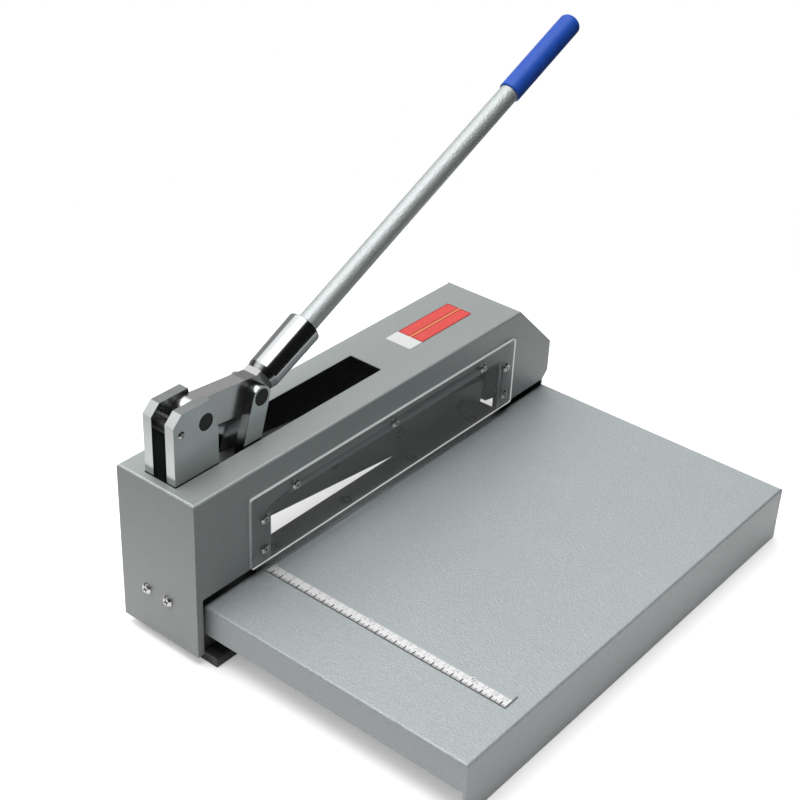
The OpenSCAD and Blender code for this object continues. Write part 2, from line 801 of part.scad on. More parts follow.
// Guard: clear acrylic with round corners, screwed to the front panel.
module guard() {
    color([0.8, 0.85, 0.88, 0.4])
        difference() {
            translate([-guard_l / 2, front_y, guard_z])
                rotate([90, 0, 0])
                    linear_extrude(guard_t)
                        round_plate(guard_l, guard_h, guard_r);
            for (p = guard_screws_at) {
                rod_y([p[0], guard_z + p[1]], front_y - guard_t - 1, guard_t + 2, guard_screw_d + 2 * seat_fit);
            }
        }
}

module guard_screws() {
    color([0.75, 0.76, 0.77])
        for (p = guard_screws_at) {
            translate([p[0], front_y - guard_t, guard_z + p[1]])
                rotate([90, 0, 0])
                    pan_screw(guard_screw_d, guard_head_d, guard_head_h, guard_t + sheet_t + 1.6 * nut_h);
        }
}

module guard_nuts() {
    color([0.7, 0.71, 0.72])
        for (p = guard_screws_at) {
            difference() {
                translate([p[0], front_y + sheet_t + nut_h, guard_z + p[1]])
                    rotate([90, 0, 0])
                        cylinder(h = nut_h, d = nut_d, $fn = 6);
                rod_y([p[0], guard_z + p[1]], front_y + sheet_t - 1, nut_h + 2, guard_screw_d + 2 * seat_fit);
            }
        }
}

// Table: folded tray, low flanges at the sides, a full-height apron in front that stands on the bench.
module table() {
    depth = table_back_y - table_front_y;
    color([0.6, 0.63, 0.63])
        difference() {
            translate([table_x, table_front_y, 0])
                cube([table_l, depth, table_z]);
            translate([table_x + sheet_t, table_front_y + sheet_t, -1])
                cube([table_l - 2 * sheet_t, depth, table_z - sheet_t + 1]);
            // side flanges end above the bench, with a short leg at the apron
            translate([table_x - 1, table_front_y + sheet_t + sheet_t / 4, -1])
                cube([table_l + 2, depth, table_z - flange_h + 1]);
            // rounded bends
            for (s = [0, 1]) {
                difference() {
                    translate([s == 0 ? table_x - 1 : right_x - bend_r, table_front_y - 1, table_z - bend_r])
                        cube([bend_r + 1, depth + 2, bend_r + 1]);
                    rod_y([s == 0 ? table_x + bend_r : right_x - bend_r, table_z - bend_r],
                          table_front_y - 2, depth + 4, 2 * bend_r);
                }
            }
            difference() {
                translate([table_x - 1, table_front_y - 1, table_z - bend_r])
                    cube([table_l + 2, bend_r + 1, bend_r + 1]);
                rod_x(table_x - 2, [table_front_y + bend_r, table_z - bend_r], table_l + 4, 2 * bend_r);
            }
            for (i = [0 : 2]) {
                translate([rivet_x, rivet_y - i * rivet_pitch, table_z - sheet_t - 1])
                    cylinder(h = sheet_t + 2, d = rivet_d + 2 * seat_fit);
            }
        }
}

// Angle brackets welded under the table and bolted to the bed.
module table_brackets() {
    color([0.35, 0.36, 0.36])
        for (x = bracket_xs) {
            difference() {
                along_x(x - bracket_w / 2, bracket_w)
                    polygon([[bed_front_y, table_z - sheet_t], [bed_front_y, table_z - sheet_t - bracket_leg],
                             [bed_front_y - bracket_t, table_z - sheet_t - bracket_leg],
                             [bed_front_y - bracket_t, table_z - sheet_t - bracket_t],
                             [bed_front_y - bracket_leg, table_z - sheet_t - bracket_t],
                             [bed_front_y - bracket_leg, table_z - sheet_t]]);
                rod_y([x, table_bolt_z], bed_front_y - bracket_t - 1, bracket_t + 2,
                      table_bolt_d + 2 * seat_fit);
            }
        }
}

module table_bolts() {
    color([0.2, 0.2, 0.21])
        for (x = bracket_xs) {
            translate([x, bed_front_y - bracket_t, table_bolt_z])
                rotate([90, 0, 0]) {
                    translate([0, 0, -table_bolt_l])
                        cylinder(h = table_bolt_l, d = table_bolt_d);
                    cylinder(h = 0.66 * table_bolt_d, d = 1.92 * table_bolt_d, $fn = 6);
                }
        }
}

// Steel rule riveted to the table.
module rule() {
    color([0.72, 0.73, 0.73])
        difference() {
            translate([rule_x, rule_y - rule_l, table_z])
                cube([rule_w, rule_l, rule_t]);
            for (i = [0 : 2]) {
                translate([rivet_x, rivet_y - i * rivet_pitch, table_z - 1])
                    cylinder(h = rule_t + 2, d = rivet_d + 2 * seat_fit);
            }
        }
}

module rule_rivets() {
    low = table_z - sheet_t - rivet_head_h;
    high = table_z + rule_t + rivet_head_h;
    color([0.6, 0.61, 0.62])
        for (i = [0 : 2]) {
            translate([rivet_x, rivet_y - i * rivet_pitch, 0])
                difference() {
                    union() {
                        translate([0, 0, low])
                            cylinder(h = high - low, d = rivet_d);
                        translate([0, 0, high - rivet_head_h])
                            cylinder(h = rivet_head_h, d1 = rivet_head_d, d2 = 1.3 * rivet_d);
                        translate([0, 0, low])
                            cylinder(h = rivet_head_h, d = rivet_head_d);
                    }
                    translate([0, 0, low - 1])
                        cylinder(h = high - low + 2, d = rivet_d * 0.6);
                }
        }
}

// Lever bar: short arm between pivot and link pin, then a tongue and a turned spigot for the socket.
module lever_bar() {
    color([0.36, 0.35, 0.33])
        difference() {
            union() {
                along_y(drive_y - bar_t / 2, bar_t) {
                    bar_outline(lever_pivot, link_top, bar_r);
                    translate(link_top)
                        rotate(handle_slope)
                            translate([0, -tongue_w / 2 - handle_drop])
                                square([socket_from, tongue_w]);
                }
                on_handle()
                    translate([0, 0, socket_from - bar_r / 4])
                        cylinder(h = spigot_to - socket_from + bar_r / 4, d = spigot_d);
            }
            rod_y(lever_pivot, drive_y - bar_t, 2 * bar_t, pin_d + 2 * bush_wall + 2 * seat_fit);
            rod_y(link_top, drive_y - bar_t, 2 * bar_t, pin_d + 2 * seat_fit);
        }
}

module lever_bush() {
    color([0.7, 0.52, 0.25])
        difference() {
            rod_y(lever_pivot, drive_y - bar_t / 2, bar_t, pin_d + 2 * bush_wall);
            rod_y(lever_pivot, drive_y - bar_t, 2 * bar_t, pin_d + 2 * run_fit);
        }
}

// Turned socket: a thick sleeve over spigot and tube; its short conical nose stands on the tongue's end.
module socket() {
    tube_seat = tube_from - side_fit;
    color([0.85, 0.86, 0.87])
        on_handle()
            rotate_extrude()
                difference() {
                    union() {
                        polygon([[0, socket_from], [nose_d / 2, socket_from], [socket_d1 / 2, socket_from + nose_l],
                                 [socket_d2 / 2, socket_to - socket_r], [socket_d2 / 2 - socket_r, socket_to - socket_r],
                                 [socket_d2 / 2 - socket_r, socket_to], [0, socket_to]]);
                        translate([socket_d2 / 2 - socket_r, socket_to - socket_r])
                            circle(socket_r);
                    }
                    translate([-1, socket_from - 1])
                        square([1 + spigot_d / 2 + seat_fit, tube_seat - socket_from + 1]);
                    translate([-1, tube_seat])
                        square([1 + tube_d / 2 + seat_fit, socket_l]);
                }
}

module handle_tube() {
    color([0.78, 0.79, 0.8])
        on_handle()
            difference() {
                translate([0, 0, tube_from])
                    cylinder(h = reach - grip_end_t - tube_from, d = tube_d);
                translate([0, 0, tube_from - 1])
                    cylinder(h = reach, d = tube_d - 2 * tube_wall);
            }
}

// Rubber grip with a closed, rounded end.
module grip() {
    from = reach - grip_l;
    color([0.05, 0.16, 0.6])
        on_handle()
            rotate_extrude() {
                difference() {
                    union() {
                        polygon([[0, from], [grip_d / 2 - 1, from], [grip_d / 2, from + 1],
                                 [grip_d / 2, reach - grip_r], [grip_d / 2 - grip_r, reach - grip_r],
                                 [grip_d / 2 - grip_r, reach], [0, reach]]);
                        intersection() {
                            translate([grip_d / 2 - grip_r, reach - grip_r])
                                circle(grip_r);
                            translate([grip_d / 2 - grip_r, reach - grip_r])
                                square(grip_r + 1);
                        }
                    }
                    translate([-1, from - 1])
                        square([1 + tube_d / 2 + seat_fit, grip_l - grip_end_t + 1]);
                }
            }
}

module link_pin() {
    color([0.08, 0.08, 0.09])
        pin_y(link_top, front_in_y - link_t, plate_gap + 2 * link_t, pin_d);
}

// Link: flat plate with round ends, one on each side of lever bar and beam.
module link(y0) {
    difference() {
        along_y(y0, link_t)
            bar_outline(link_top, link_foot, link_w / 2);
        rod_y(link_top, y0 - 1, link_t + 2, pin_d + 2 * run_fit);
        rod_y(link_foot, y0 - 1, link_t + 2, pin_d + 2 * seat_fit);
    }
}

module front_link() {
    color([0.4, 0.41, 0.41])
        link(front_in_y - link_t);
}

module rear_link() {
    color([0.4, 0.41, 0.41])
        link(rear_in_y);
}

module lower_link_pin() {
    color([0.08, 0.08, 0.09])
        pin_y(link_foot, front_in_y - link_t, plate_gap + 2 * link_t, pin_d);
}

// Blade beam: straight steel bar with the pivot eye at the right and an oblong eye for the links.
module blade_beam() {
    y0 = drive_y - bar_t / 2;
    c = beam_cut;
    tip = beam_cut / 3;
    color([0.22, 0.23, 0.23])
        on_beam()
            difference() {
                along_y(y0, bar_t)
                    polygon([[-beam_end, -beam_below + c], [-beam_end + c, -beam_below],
                             [beam_tail - c, -beam_below], [beam_tail, -beam_below + c],
                             [beam_tail, beam_above - c], [beam_tail - c, beam_above],
                             [-beam_end + tip, beam_above], [-beam_end, beam_above - tip]]);
                rod_y([0, 0], y0 - 1, bar_t + 2, pin_d + 2 * bush_wall + 2 * seat_fit);
                along_y(y0 - 1, bar_t + 2)
                    pin_slot();
                upper_screw_set(seat_fit);
            }
}

// Oblong eye: the lower link pin may slide along the beam as lever and beam swing.
module pin_slot() {
    bar_outline([-beam_arm - pin_play_out + pin_play_up, beam_pin_up],
                [-beam_arm + pin_play_in - pin_play_up, beam_pin_up], pin_hole_r);
}

module beam_bush() {
    y0 = drive_y - bar_t / 2;
    color([0.7, 0.52, 0.25])
        on_beam()
            difference() {
                rod_y([0, 0], y0, bar_t, pin_d + 2 * bush_wall);
                rod_y([0, 0], y0 - 1, bar_t + 2, pin_d + 2 * run_fit);
            }
}

// Upper blade: flat ground front, relieved lower edge.
module upper_blade() {
    color([0.16, 0.165, 0.165])
        on_beam()
            difference() {
                along_x(-blade_tip, upper_blade_l)
                    polygon([[blade_gap, -edge_drop], [blade_gap + upper_blade_t, -edge_drop + blade_relief],
                             [blade_gap + upper_blade_t, -edge_drop + upper_blade_w],
                             [blade_gap, -edge_drop + upper_blade_w]]);
                upper_screw_set(seat_fit);
            }
}

module upper_screw_set(grow) {
    for (i = [0 : 3]) {
        translate([-upper_screw_from - i * blade_pitch, 3 * blade_gap, -edge_drop + upper_screw_up])
            rotate([90, 0, 0])
                flat_screw(blade_screw_d, upper_screw_l, grow);
    }
}

module upper_blade_screws() {
    color([0.1, 0.1, 0.11])
        on_beam()
            difference() {
                upper_screw_set(0);
                for (i = [0 : 3]) {
                    translate([-upper_screw_from - i * blade_pitch, 3 * blade_gap + hex_deep,
                               -edge_drop + upper_screw_up])
                        rotate([90, 0, 0])
                            cylinder(h = hex_deep + 1, d = hex_key, $fn = 6);
                }
            }
}

base_plate();
bed();
lower_blade();
lower_blade_screws();
front_ear();
rear_ear();
ear_block();
ear_stay();
ear_screws();
front_cheek();
rear_cheek();
cheek_block();
plate_bolts();
tie_bolts();
base_screws();
lever_pivot_pin();
blade_pivot_pin();
cover();
cover_screws();
guard();
guard_screws();
guard_nuts();
table();
table_brackets();
table_bolts();
rule();
rule_rivets();
lever_bar();
lever_bush();
socket();
handle_tube();
grip();
link_pin();
front_link();
rear_link();
lower_link_pin();
blade_beam();
beam_bush();
upper_blade();
upper_blade_screws();
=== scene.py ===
# %% [markdown]
# # Bench lever shear: from bare solids to a finished picture
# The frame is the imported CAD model: every node already has its true shape, place and body.
# This lesson adds what a solid model can't hold: paint, plating, acrylic, ink and light.
# All lengths here are metres, and every piece sits in the same frame as the solids.

# %% Load the frame
import math

import bmesh
import bpy
from mathutils import Matrix, Vector


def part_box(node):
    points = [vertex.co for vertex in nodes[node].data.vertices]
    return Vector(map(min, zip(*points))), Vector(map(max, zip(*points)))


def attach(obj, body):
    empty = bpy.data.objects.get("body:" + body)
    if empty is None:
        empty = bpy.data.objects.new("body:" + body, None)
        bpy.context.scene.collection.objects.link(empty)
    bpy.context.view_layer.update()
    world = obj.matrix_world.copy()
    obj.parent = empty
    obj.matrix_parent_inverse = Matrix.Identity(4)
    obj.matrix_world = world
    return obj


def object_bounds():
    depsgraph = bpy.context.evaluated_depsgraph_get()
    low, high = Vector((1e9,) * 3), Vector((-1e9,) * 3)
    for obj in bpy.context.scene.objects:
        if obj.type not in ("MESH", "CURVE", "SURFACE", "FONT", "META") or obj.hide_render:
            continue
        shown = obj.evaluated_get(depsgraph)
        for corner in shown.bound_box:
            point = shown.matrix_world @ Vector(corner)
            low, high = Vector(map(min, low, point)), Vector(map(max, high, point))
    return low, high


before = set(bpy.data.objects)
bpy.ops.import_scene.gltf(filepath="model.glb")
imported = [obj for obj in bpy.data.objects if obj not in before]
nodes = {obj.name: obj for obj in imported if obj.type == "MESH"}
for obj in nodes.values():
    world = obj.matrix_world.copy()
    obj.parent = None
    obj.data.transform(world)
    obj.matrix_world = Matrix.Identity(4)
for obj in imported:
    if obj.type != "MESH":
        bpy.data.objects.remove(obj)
cad_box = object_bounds()

# %% [markdown]
# ## A small language for finishes
# A finish is a node tree. Written by hand, each sum or product is a node, two links and a place
# in the editor. Instead, one class wraps a socket and overloads the operators, so a mask can be
# written as `1 - scratches * 0.3`. Every other node comes from one method, `Finish.node`.


# %% Sockets that can be calculated with
class Wire:
    """One output of a node. Arithmetic on it adds Math nodes to its finish."""

    def __init__(self, finish, socket):
        self.finish = finish
        self.socket = socket

    def __add__(self, other):
        return self.finish.math("ADD", self, other)

    def __sub__(self, other):
        return self.finish.math("SUBTRACT", self, other)

    def __rsub__(self, other):
        return self.finish.math("SUBTRACT", other, self)

    def __mul__(self, other):
        return self.finish.math("MULTIPLY", self, other)

    def __lt__(self, other):
        return self.finish.math("LESS_THAN", self, other)

    def __gt__(self, other):
        return self.finish.math("GREATER_THAN", self, other)

    def __abs__(self):
        return self.finish.math("ABSOLUTE", self)

    __radd__ = __add__
    __rmul__ = __mul__


print("a wire knows + - * < > and abs")

# %% A node tree with a shader at its end
EVEN = (1.0, 1.0, 1.0)


class Finish:
    """A node tree being made, with one shader at its end: a material's or the world's."""

    def __init__(self, name, blocks=None, shader="Principled BSDF"):
        self.block = (bpy.data.materials if blocks is None else blocks).new(name)
        self.block.use_nodes = True
        self.tree = self.block.node_tree
        self.shader = self.tree.nodes[shader]

    def node(self, kind, settings=None, inputs=None, out=0):
        """Adds a node: settings first, then its sockets. Gives one output, or all where out is None."""
        made = self.tree.nodes.new(kind)
        for key, value in (settings or {}).items():
            setattr(made, key, value)
        for key, value in (inputs or {}).items():
            self.feed(made.inputs[key], value)
        if out is None:
            return [Wire(self, socket) for socket in made.outputs]
        return Wire(self, made.outputs[out])

    def feed(self, socket, value):
        """Links a wire to a socket, or sets the socket to a plain value."""
        if isinstance(value, Wire):
            self.tree.links.new(value.socket, socket)
        else:
            socket.default_value = value

    def set(self, **sockets):
        """Sets the shader's sockets; Base_Color stands for Base Color."""
        for key, value in sockets.items():
            self.feed(self.shader.inputs[key.replace("_", " ")], value)

    def math(self, operation, a, b=0.0):
        return self.node("ShaderNodeMath", {"operation": operation}, {0: a, 1: b})

    def vector(self, operation, a, b, out="Vector"):
        return self.node("ShaderNodeVectorMath", {"operation": operation}, {0: a, 1: b}, out)

    def dot(self, a, b):
        return self.vector("DOT_PRODUCT", a, b, "Value")

    def parts(self, vector):
        """The x, y and z of a vector, as three wires."""
        return self.node("ShaderNodeSeparateXYZ", None, {0: vector}, None)

    def limit(self, value):
        """Keeps a value between 0 and 1."""
        return self.node("ShaderNodeClamp", None, {"Value": value})

    def step(self, value, low, high):
        """Rises smoothly from 0 at low to 1 at high."""
        return self.node("ShaderNodeMapRange", {"interpolation_type": "SMOOTHSTEP"},
                         {"Value": value, "From Min": low, "From Max": high})

    def blend(self, share, a, b):
        """Mixes two colours: a where the share is 0, b where it is 1."""
        return self.node("ShaderNodeMix", {"data_type": "RGBA"}, {0: share, 6: a, 7: b}, 2)

    def geometry(self, out):
        return self.node("ShaderNodeNewGeometry", None, None, out)

    def ray(self, out):
        return self.node("ShaderNodeLightPath", None, None, out)

    def place(self, stretch=EVEN):
        """The point on the surface in the frame's metres, stretched along the axes."""
        return self.vector("MULTIPLY", self.node("ShaderNodeTexCoord", None, None, "Object"), stretch)

    def noise(self, scale, detail=2.0, rough=0.5, stretch=EVEN):
        inputs = {"Vector": self.place(stretch), "Scale": scale, "Detail": detail, "Roughness": rough}
        return self.node("ShaderNodeTexNoise", None, inputs)

    def cells(self, scale, smooth=0.6):
        """Soft cells, as in hammer paint: 0 in a cell's middle, rising to its rim."""
        inputs = {"Vector": self.place(), "Scale": scale, "Smoothness": smooth}
        return self.node("ShaderNodeTexVoronoi", {"feature": "SMOOTH_F1"}, inputs, "Distance")

    def relief(self, height, depth, strength):
        """A bump of the given depth in metres, for the Normal socket."""
        inputs = {"Strength": strength, "Distance": depth, "Height": height}
        return self.node("ShaderNodeBump", None, inputs)


def grey(value, tint=EVEN):
    """A grey of that linear brightness, leaning towards a tint."""
    return (value * tint[0], value * tint[1], value * tint[2], 1.0)


print("middle grey:", grey(0.18))

# %% [markdown]
# ## Grey hammer paint
# The cover and the table are sprayed with hammer paint: aluminium flake in a lacquer that draws
# itself into small dimples as it dries. The tube has a brighter one. A picture of the paint could
# be wrapped on, but it would tile. Soft Voronoi cells of about 2 mm give the dimples, and noises
# vary their size and tone.
# The cover's top bends are painted lighter as a painted highlight, and its inside is painted dark as
# painted shade. A face is inside when it lies a little way in from the outline and looks back towards the
# cover's middle.

# %% Bends and inside of a sheet-metal box
SKIN = 0.0007
BEND_UP = (0.25, 0.97)
BEND_RIGHT = 0.2


def inside_of(paint, node):
    """1 on the inner faces of a sheet-metal box, 0 outside."""
    low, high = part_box(node)
    middle = tuple((a + b) / 2 for a, b in zip(low, high))
    from_centre = paint.vector("SUBTRACT", paint.place(), middle)
    inner = paint.dot(from_centre, paint.geometry("Normal")) < 0.0
    for along, a, b in zip(paint.parts(from_centre), low, high):
        inner = inner * (abs(along) < (b - a) / 2 - SKIN)
    return inner


def bends_of(paint):
    """1 on the bends along the top, where the normal leans out to the front, the back or the left."""
    to_right, _, upward = paint.parts(paint.geometry("True Normal"))
    return (upward > BEND_UP[0]) * (upward < BEND_UP[1]) * (to_right < BEND_RIGHT)


print("sheet skin:", SKIN)

# %% Hammer paint
COOL = (0.93, 1.0, 0.99)
BLUISH = (0.915, 0.995, 1.015)
# the cover's inside is painted this dark: painted shade
INSIDE_SHADE = 0.03
# the top bends are painted lighter: a painted highlight
BEND_HIGHLIGHT = 0.7
BEND_HIGHLIGHT_TONE = 1.6
ISLANDS_PER_CELL = 0.45
DRIFT_SCALE = 9.0
GRAIN_SCALE = 850.0


def hammer_paint(name, tone, cell, depth, flake, speckle, tint=COOL, box=None, rough=0.36):
    """Paint with dimples one cell wide. A node given as box gets a painted highlight on its bends and
    painted shade on its inside.
    """
    paint = Finish(name)
    dimples = paint.cells(1 / cell)
    islands = paint.noise(ISLANDS_PER_CELL / cell)
    drift = paint.noise(DRIFT_SCALE)
    grain = paint.noise(GRAIN_SCALE, rough=0.6)
    height = dimples * 0.8 + islands * 0.2 + grain * 0.12
    shade = paint.limit(dimples * 0.4 + islands * 0.3 + drift * 0.2 + grain * 1.2 - 0.6)
    colour = paint.blend(shade, grey(tone * (1 - speckle), tint), grey(tone * (1 + speckle), tint))
    if box:
        # painted highlight on the top bends
        colour = paint.blend(bends_of(paint) * BEND_HIGHLIGHT, colour, grey(tone * BEND_HIGHLIGHT_TONE, tint))
        # painted shade on the cover's inside
        colour = paint.blend(inside_of(paint, box), colour, grey(INSIDE_SHADE))
    paint.set(Base_Color=colour, Metallic=flake, Roughness=rough + grain * 0.14,
              Normal=paint.relief(height, depth, strength=0.9), Coat_Weight=0.10, Coat_Roughness=0.22)
    return paint.block


cover_paint = hammer_paint("cover_paint", tone=0.375, cell=0.0019, depth=0.0004, flake=0.2, speckle=0.10,
                           box="cover")
hammer_grey = hammer_paint("hammer_grey", tone=0.45, cell=0.0017, depth=0.0005, flake=0.2, speckle=0.18,
                           tint=BLUISH)
silver_paint = hammer_paint("silver_paint", tone=0.55, cell=0.0018, depth=0.0004, flake=0.6, speckle=0.22,
                            rough=0.5)
print("paints:", cover_paint.name, hammer_grey.name, silver_paint.name)

# %% [markdown]
# ## Plated and ground steel
# The ears, links and lever bar are nickel plated over a ground surface, so they mirror the room
# softly along the grinding lines. Stretched noise makes those lines: fine across, long along.
# Blades and beam get the same recipe, darker and with the lines along the blade.
# The lever bar's colour turns darker from a little before the socket onward. A second object
# could show that, but a mask along the handle keeps the bar in one piece.

# %% Where the handle points
socket_middle, grip_middle = [(Vector(low) + Vector(high)) / 2
                              for low, high in map(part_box, ("socket", "grip"))]
handle_axis = (grip_middle - socket_middle).normalized()
nose_end = min(handle_axis.dot(vertex.co) for vertex in nodes["socket"].data.vertices)


def along_handle(finish):
    """How far the point lies along the handle, in metres."""
    return finish.dot(finish.place(), handle_axis)


print("handle axis:", [round(part, 3) for part in handle_axis])

# %% Ground metal
LINES_UP = (900.0, 900.0, 14.0)
LINES_ALONG = (14.0, 900.0, 900.0)
NO_LINES = (300.0, 300.0, 300.0)
LINE_DEPTH = 0.00002
CLOUD_SCALE = 38.0
DARKER_BEFORE_NOSE = 0.018
DARKER_FADE = 0.002
DARKER_TONE = 0.6


def ground_metal(name, tone, rough, stretch, tint=(1.0, 1.0, 0.985), stain=0.1, bare=1.0, darker_from=None):
    """Metal with grinding lines and faint stains, darker from a given point along the handle onward."""
    metal = Finish(name)
    lines = metal.noise(1.0, detail=3.0, rough=0.6, stretch=stretch)
    clouds = metal.noise(CLOUD_SCALE, detail=4.0, rough=0.6)
    colour = metal.blend(metal.limit(clouds * 1.5 - 0.4), grey(tone * (1 - stain), tint),
                         grey(tone * (1 + stain * 0.5), tint))
    if darker_from is not None:
        past_darker_from = metal.step(along_handle(metal), darker_from - DARKER_FADE, darker_from + DARKER_FADE)
        colour = metal.blend(past_darker_from, colour, grey(tone * DARKER_TONE, tint))
    metal.set(Base_Color=colour, Metallic=bare,
              Roughness=rough + (lines - 0.5) * 0.14 + (clouds - 0.5) * 0.08,
              Normal=metal.relief(lines, LINE_DEPTH, strength=0.35))
    return metal.block


nickel_plate = ground_metal("nickel_plate", tone=0.56, rough=0.18, stretch=LINES_UP,
                            tint=(0.96, 1.0, 0.995))
lever_plate = ground_metal("lever_plate", tone=0.56, rough=0.22, stretch=LINES_ALONG,
                           tint=(1.0, 0.985, 0.98), stain=0.08, darker_from=nose_end - DARKER_BEFORE_NOSE)
machined_steel = ground_metal("machined_steel", tone=0.15, rough=0.42, stretch=LINES_ALONG,
                              stain=0.2, bare=0.6)
beam_steel = ground_metal("beam_steel", tone=0.10, rough=0.45, stretch=LINES_ALONG, stain=0.2, bare=0.6)
# the cheeks and their block get a near-black steel
near_black_steel = ground_metal("near_black_steel", tone=0.015, rough=0.5, stretch=LINES_UP, stain=0.2)
blade_steel = ground_metal("blade_steel", tone=0.17, rough=0.40, stretch=LINES_ALONG, stain=0.15, bare=0.5)
zinc_plate = ground_metal("zinc_plate", tone=0.66, rough=0.27, stretch=NO_LINES, stain=0.12)
bronze = ground_metal("bronze", tone=0.6, rough=0.3, stretch=LINES_ALONG, tint=(1.0, 0.72, 0.36))
print("ground metals ready")

# %% [markdown]
# ## Lit and shaded blade, rule and rivets
# The lower blade's top is painted lighter along its front strip and darker further in, as painted shade
# under the cover. The rule is white where it is printed, bare along its right edge, and painted dark along
# its left edge and at its front end as painted shade. Both could be cut into separate faces. Masks by
# place do it on the solid as it is, and a noise keeps their borders from being ruler-straight. The rivets
# are soft aluminium.

# %% Lower blade, painted lighter in front and painted shade further in
# the blade's front strip is painted lighter, the rest darker as painted shade under the cover
LIT_STRIP_W = 0.0065
LIT_STRIP_FADE = 0.0015
LIT_STRIP_WAVE = 0.003
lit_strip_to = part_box("lower_blade")[0][1] + LIT_STRIP_W
lit_and_shaded_blade = Finish("lit_and_shaded_blade")
polish = lit_and_shaded_blade.noise(1.0, detail=3.0, rough=0.6, stretch=(30.0, 400.0, 400.0))
inward = lit_and_shaded_blade.parts(lit_and_shaded_blade.place())[1] + (polish - 0.5) * LIT_STRIP_WAVE
# darker further in: painted shade
shaded_inward = lit_and_shaded_blade.step(inward, lit_strip_to - LIT_STRIP_FADE, lit_strip_to + LIT_STRIP_FADE)
lit_and_shaded_blade.set(Base_Color=lit_and_shaded_blade.blend(shaded_inward, grey(0.38, COOL), grey(0.22)),
               Metallic=0.35 + shaded_inward * 0.6, Roughness=0.34 + polish * 0.14,
               Normal=lit_and_shaded_blade.relief(polish, LINE_DEPTH, strength=0.3))
print("lit strip ends at y", round(lit_strip_to, 4))

# %% Face of the rule
WHITE_W = 0.0112
WHITE_FADE = (-0.0004, 0.0012)
WHITE_WAVE = 0.0008
# the rule's left edge and front end are painted dark: painted shade
SHADED_EDGE_W = 0.0007
SHADED_END_W = SHADED_EDGE_W * 1.6
rule_low, rule_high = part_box("rule")
white_to = rule_low[0] + WHITE_W
rule_face = Finish("rule_face")
rule_lines = rule_face.noise(1.0, detail=3.0, rough=0.6, stretch=LINES_UP)
rule_x, rule_y, _ = rule_face.parts(rule_face.place())
bare_strip = rule_face.step(rule_x + rule_lines * WHITE_WAVE, white_to + WHITE_FADE[0],
                            white_to + WHITE_FADE[1])
# painted shade along the left edge and the front end
painted_edge_shade = rule_face.limit((rule_x < rule_low[0] + SHADED_EDGE_W) + (rule_y < rule_low[1] + SHADED_END_W))
printed = rule_face.blend(rule_lines, grey(0.72), grey(0.84))
rule_colour = rule_face.blend(bare_strip, printed, grey(0.44, BLUISH))
rule_face.set(Base_Color=rule_face.blend(painted_edge_shade, rule_colour, grey(0.16)), Metallic=0.25,
              Roughness=0.36 + rule_lines * 0.14,
              Normal=rule_face.relief(rule_lines, LINE_DEPTH, strength=0.3))
print("rule is white up to x", round(white_to, 4))

# %% Rivets
soft_metal = Finish("aluminium")
swirl = soft_metal.noise(600.0, detail=3.0)
soft_metal.set(Base_Color=soft_metal.blend(swirl, grey(0.72), grey(0.84)), Metallic=0.3,
               Roughness=0.3 + swirl * 0.2, Normal=soft_metal.relief(swirl, 0.00003, strength=0.3))
print("rivets:", soft_metal.block.name)

# %% [markdown]
# ## Chrome, black oxide, black enamel and vinyl
# The socket is bright chrome: nearly a mirror, so its look comes from what it reflects. Its short
# nose, where it meets the lever bar, is darker and duller. Pins and socket screws are blackened. The
# base is enamelled. The grip is dipped vinyl: smooth, a little waxy, and uneven where the dip ran.
# One plain colour each would look like plastic, so a noise moves colour and roughness a little.

# %% Chrome
BRIGHT = (0.97, 1.0, 1.01)
NOSE_L = 0.0065
NOSE_FADE = (-0.002, 0.001)
nose_to = nose_end + NOSE_L
chrome = Finish("chrome")
haze = chrome.noise(60.0, detail=3.0)
body = chrome.step(along_handle(chrome), nose_to + NOSE_FADE[0], nose_to + NOSE_FADE[1])
chrome.set(Base_Color=chrome.blend(body, grey(0.27, BRIGHT), grey(0.42, BRIGHT)), Metallic=1.0,
           Roughness=0.16 + haze * 0.08 - body * 0.06, Normal=chrome.relief(haze, 0.0001, strength=0.12))
print("chrome ready")

# %% Black finishes
black_oxide = Finish("black_oxide")
speck = black_oxide.noise(700.0, detail=3.0)
black_oxide.set(Base_Color=black_oxide.blend(speck, grey(0.012), grey(0.045)), Metallic=0.6,
                Roughness=0.38 + speck * 0.2, Normal=black_oxide.relief(speck, 0.00004, strength=0.4))

black_enamel = Finish("black_enamel")
peel = black_enamel.noise(420.0)
black_enamel.set(Base_Color=black_enamel.blend(peel, grey(0.026), grey(0.046)),
                 Roughness=0.36 + peel * 0.12, Normal=black_enamel.relief(peel, 0.00018, strength=0.35))
print("blacks ready")

# %% Vinyl
DEEP_BLUE = (0.016, 0.075, 0.44, 1.0)
PALE_BLUE = (0.026, 0.112, 0.56, 1.0)
vinyl = Finish("blue_vinyl")
runs = vinyl.noise(70.0)
pores = vinyl.noise(1500.0)
vinyl.set(Base_Color=vinyl.blend(runs, DEEP_BLUE, PALE_BLUE), Roughness=0.34 + pores * 0.12,
          Normal=vinyl.relief(runs * 0.5 + pores * 0.1, 0.0005, strength=0.25), Specular_IOR_Level=0.25)
print("vinyl ready")

# %% [markdown]
# ## Clear acrylic
# The guard is a sawn and flame-polished acrylic plate. Light that enters it leaves at the edges,
# so the edges look bright: they get a near-white colour as a painted highlight, and the inner rim near the
# front glows as painted light. The faces are clear and a little smoky. The face normal tells edge from
# face:
# only the front and back faces point along Y. Real refraction would throw the panel behind into black
# shadow, so the plate is a thin haze that lets light through by its alpha.

# %% Acrylic guard
FACE_HAZE = 0.2
SMOKE = 0.5
EDGE_HAZE = 0.88
# near-white edge colour: a painted highlight
EDGE_HIGHLIGHT_COLOUR = (0.90, 0.94, 0.94, 1.0)
EDGE_TURN = (0.35, 0.8)
INNER_SHARE = 0.7
